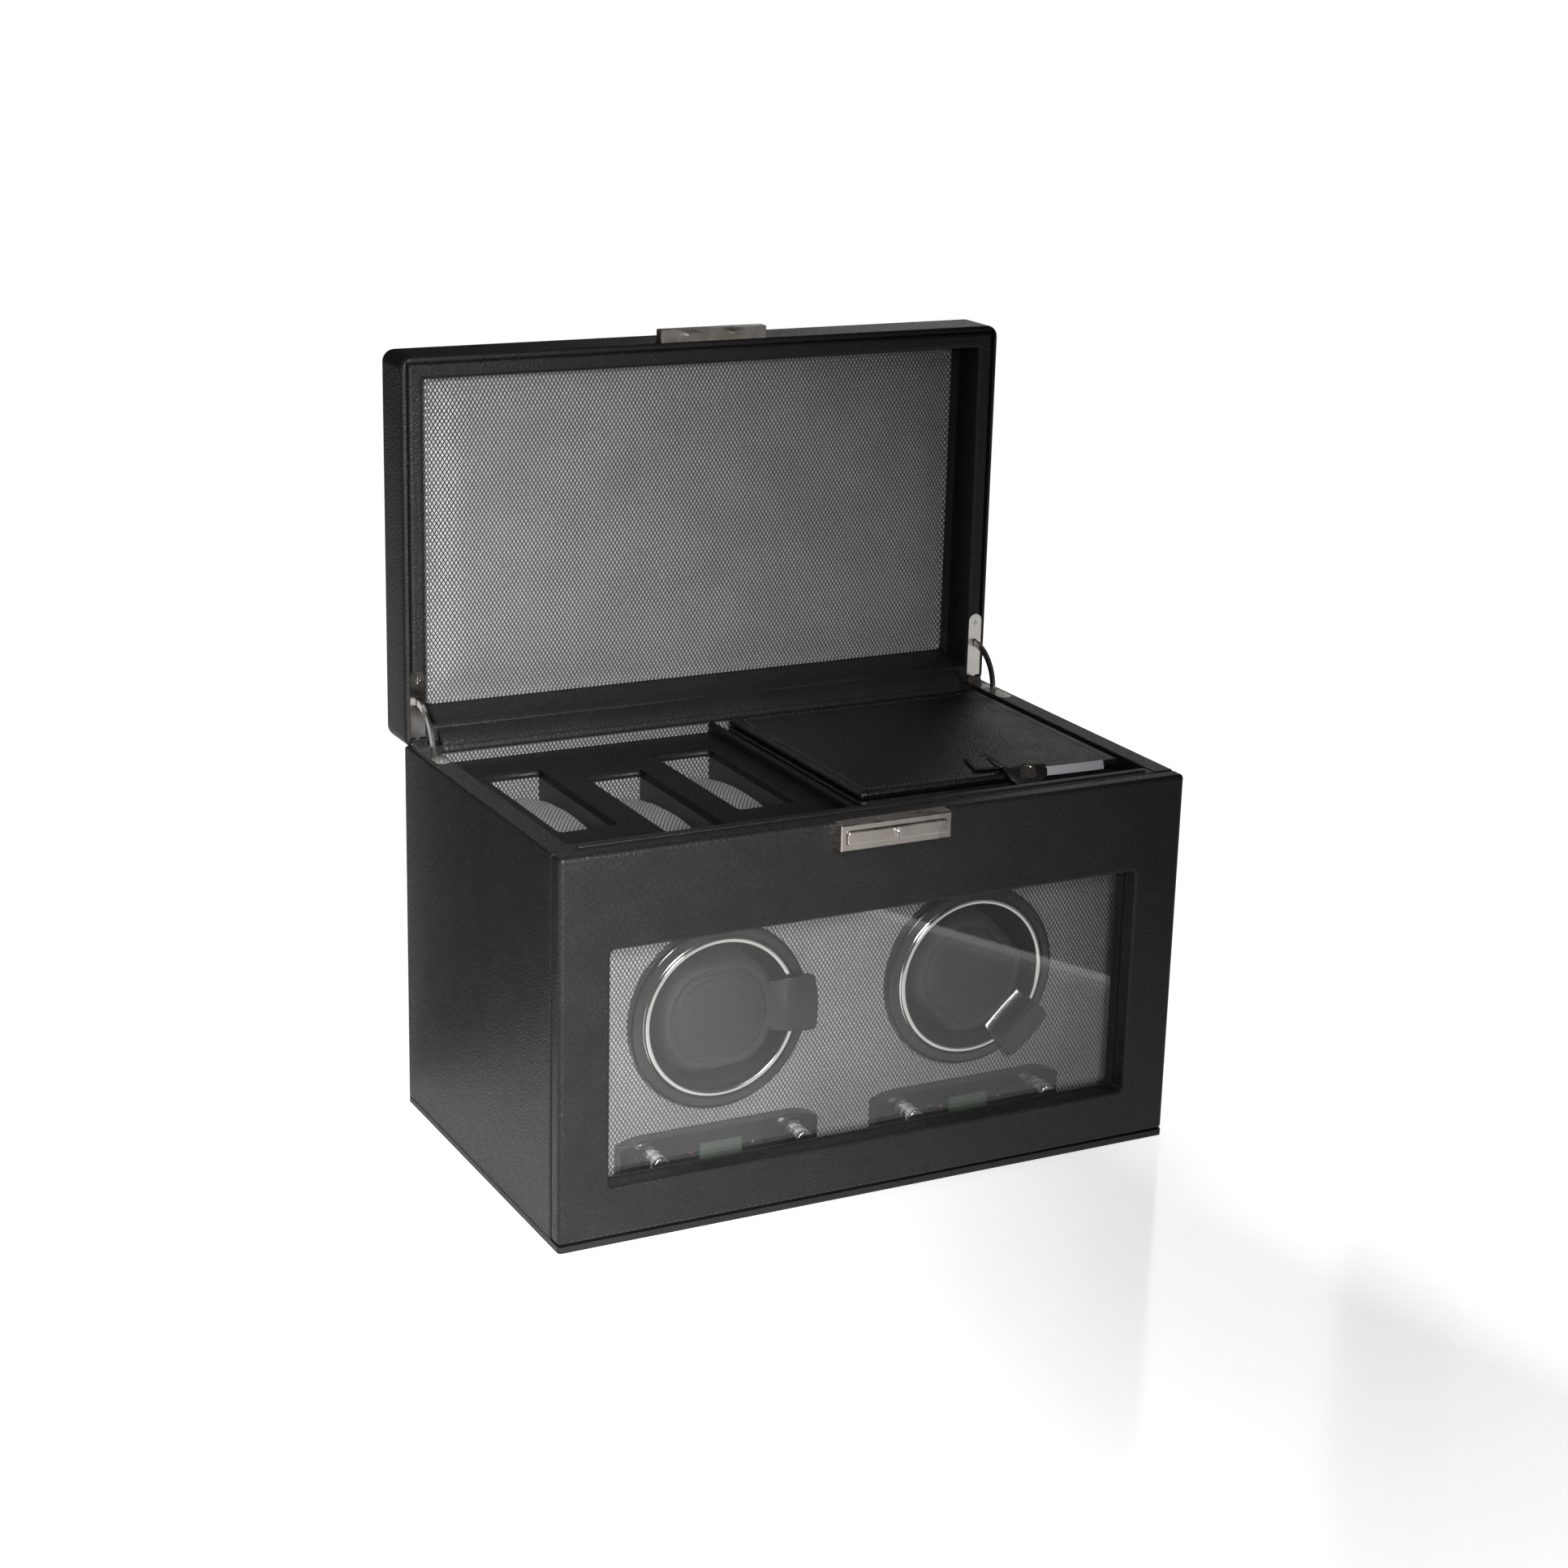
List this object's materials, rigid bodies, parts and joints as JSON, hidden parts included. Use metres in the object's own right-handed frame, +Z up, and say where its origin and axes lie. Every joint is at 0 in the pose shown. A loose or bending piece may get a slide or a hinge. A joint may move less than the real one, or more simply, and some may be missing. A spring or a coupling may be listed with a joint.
{
  "type": "watch winder box",
  "caption": "Lidded leather-covered box with motor-driven watch winder drums behind a drop-front glass door, and a watch tray and travel case above.",
  "frame": {"origin": "middle of the base's underside, on the surface the box stands on", "axes": "+Z up, -Y towards the glazed front door, +X to the right when facing the door"},
  "size_m": [0.324, 0.226, 0.3804],
  "materials": {
    "leather": "fine pebbled grain, satin",
    "lining_leather": "smooth matte",
    "mesh_fabric": "silver diamond mesh",
    "cuff_leather": "soft, satin",
    "tray_black": "matte",
    "satin_nickel": "satin",
    "bright_nickel": "polished",
    "chrome": "polished",
    "glass": "clear",
    "black_gloss": "gloss",
    "black_matte": "matte",
    "lcd": "matte green-grey",
    "steel": "plain",
    "belt_rubber": "matte",
    "ribbon": "satin",
    "jack_black": "matte"
  },
  "bodies": {
    "box": {"base_panel": "leather", "left_wall": "leather", "right_wall": "leather", "rear_wall": "leather", "power_jack": "jack_black", "storage_deck": "black_matte", "storage_front_wall": "leather", "tray_divider": "tray_black", "watch_tray": "tray_black", "storage_linings": "mesh_fabric", "door_hinge_strap": "leather", "chamber_fascia": "mesh_fabric", "box_hinge_leaves": "bright_nickel", "box_hinge_screws": "bright_nickel", "hinge_pins": "steel", "stay_arms": "bright_nickel", "bezels": "black_gloss", "motor_brackets": "steel", "motors": "steel", "drive_belts": "belt_rubber", "control_panels": "black_gloss", "displays": "lcd"},
    "lid": {"lid_shell": "leather", "lid_pad": "mesh_fabric", "lid_gusset": "leather", "lid_catch": "satin_nickel", "lid_hinge_leaves": "bright_nickel", "lid_hinge_screws": "bright_nickel"},
    "front_door": {"door_panel": "leather", "door_glass": "glass", "glass_retainer": "black_matte", "lock_body": "satin_nickel"},
    "lock_button": {"lock_button": "satin_nickel"},
    "key_cylinder": {"key_cylinder": "bright_nickel"},
    "travel_case": {"case_base": "lining_leather"},
    "case_lid": {"case_lid": "lining_leather", "case_strap": "leather", "case_snap": "satin_nickel", "case_ribbon": "ribbon"},
    "tray_cushion_1": {"tray_cushion_1": "mesh_fabric"},
    "tray_cushion_2": {"tray_cushion_2": "mesh_fabric"},
    "tray_cushion_3": {"tray_cushion_3": "mesh_fabric"},
    "drum_left": {"drum_cup_left": "black_matte", "drum_ring_left": "chrome", "cuff_left": "cuff_leather", "cuff_tab_left": "black_gloss"},
    "motor_pulley_left": {"motor_pulley_left": "black_matte"},
    "knob_left_a": {"knob_left_a": "chrome"},
    "button_left_a": {"button_left_a": "black_gloss"},
    "knob_left_b": {"knob_left_b": "chrome"},
    "button_left_b": {"button_left_b": "black_gloss"},
    "drum_right": {"drum_cup_right": "black_matte", "drum_ring_right": "chrome", "cuff_right": "cuff_leather", "cuff_tab_right": "black_gloss"},
    "motor_pulley_right": {"motor_pulley_right": "black_matte"},
    "knob_right_a": {"knob_right_a": "chrome"},
    "button_right_a": {"button_right_a": "black_gloss"},
    "knob_right_b": {"knob_right_b": "chrome"},
    "button_right_b": {"button_right_b": "black_gloss"}
  },
  "joints": [
    {"name": "lid_hinge", "type": "hinge", "parent": "box", "child": "lid", "pos_m": [0, 0.0925, 0.1867], "axis": [-1, 0, 0], "range_deg": [-90, 0], "deforming": ["lid_gusset"]},
    {"name": "door_hinge", "type": "hinge", "parent": "box", "child": "front_door", "pos_m": [0, -0.0955, 0.0032], "axis": [1, 0, 0], "range_deg": [0, 88]},
    {"name": "lock_press", "type": "slide", "parent": "front_door", "child": "lock_button", "axis": [0, 1, 0], "range_m": [0, 0.0015], "stiffness_N_per_m": 400},
    {"name": "key_turn", "type": "hinge", "parent": "lock_button", "child": "key_cylinder", "pos_m": [0, -0.105, 0.1808], "axis": [0, 1, 0], "range_deg": [0, 90]},
    {"name": "case_lift", "type": "slide", "parent": "box", "child": "travel_case", "axis": [0, 0, 1], "range_m": [0, 0.05]},
    {"name": "case_open", "type": "hinge", "parent": "travel_case", "child": "case_lid", "pos_m": [0.077, 0.0785, 0.1817], "axis": [-1, 0, 0], "range_deg": [0, 90]},
    {"name": "cushion_1_lift", "type": "slide", "parent": "box", "child": "tray_cushion_1", "axis": [0, 0, 1], "range_m": [0, 0.03]},
    {"name": "cushion_2_lift", "type": "slide", "parent": "box", "child": "tray_cushion_2", "axis": [0, 0, 1], "range_m": [0, 0.03]},
    {"name": "cushion_3_lift", "type": "slide", "parent": "box", "child": "tray_cushion_3", "axis": [0, 0, 1], "range_m": [0, 0.03]},
    {"name": "drum_left_spin", "type": "hinge", "parent": "box", "child": "drum_left", "pos_m": [-0.0671, -0.03, 0.0873], "axis": [0, 1, 0], "continuous": true},
    {"name": "motor_left_spin", "type": "hinge", "parent": "box", "child": "motor_pulley_left", "pos_m": [-0.0431, 0.003, 0.043], "axis": [0, 1, 0], "continuous": true},
    {"name": "knob_left_a_turn", "type": "hinge", "parent": "box", "child": "knob_left_a", "pos_m": [-0.1041, -0.073, 0.0255], "axis": [0, 1, 0], "range_deg": [-120, 120]},
    {"name": "button_left_a_press", "type": "slide", "parent": "box", "child": "button_left_a", "axis": [0, 1, 0], "range_m": [0, 0.0008], "stiffness_N_per_m": 300},
    {"name": "knob_left_b_turn", "type": "hinge", "parent": "box", "child": "knob_left_b", "pos_m": [-0.0301, -0.073, 0.0255], "axis": [0, 1, 0], "range_deg": [-120, 120]},
    {"name": "button_left_b_press", "type": "slide", "parent": "box", "child": "button_left_b", "axis": [0, 1, 0], "range_m": [0, 0.0008], "stiffness_N_per_m": 300},
    {"name": "drum_right_spin", "type": "hinge", "parent": "box", "child": "drum_right", "pos_m": [0.0671, -0.03, 0.0873], "axis": [0, 1, 0], "continuous": true},
    {"name": "motor_right_spin", "type": "hinge", "parent": "box", "child": "motor_pulley_right", "pos_m": [0.0911, 0.003, 0.043], "axis": [0, 1, 0], "continuous": true},
    {"name": "knob_right_a_turn", "type": "hinge", "parent": "box", "child": "knob_right_a", "pos_m": [0.0301, -0.073, 0.0255], "axis": [0, 1, 0], "range_deg": [-120, 120]},
    {"name": "button_right_a_press", "type": "slide", "parent": "box", "child": "button_right_a", "axis": [0, 1, 0], "range_m": [0, 0.0008], "stiffness_N_per_m": 300},
    {"name": "knob_right_b_turn", "type": "hinge", "parent": "box", "child": "knob_right_b", "pos_m": [0.1041, -0.073, 0.0255], "axis": [0, 1, 0], "range_deg": [-120, 120]},
    {"name": "button_right_b_press", "type": "slide", "parent": "box", "child": "button_right_b", "axis": [0, 1, 0], "range_m": [0, 0.0008], "stiffness_N_per_m": 300}
  ],
  "couplings": [
    {"joint": "motor_left_spin", "follows": "drum_left_spin", "ratio": 4},
    {"joint": "motor_right_spin", "follows": "drum_right_spin", "ratio": 4}
  ]
}
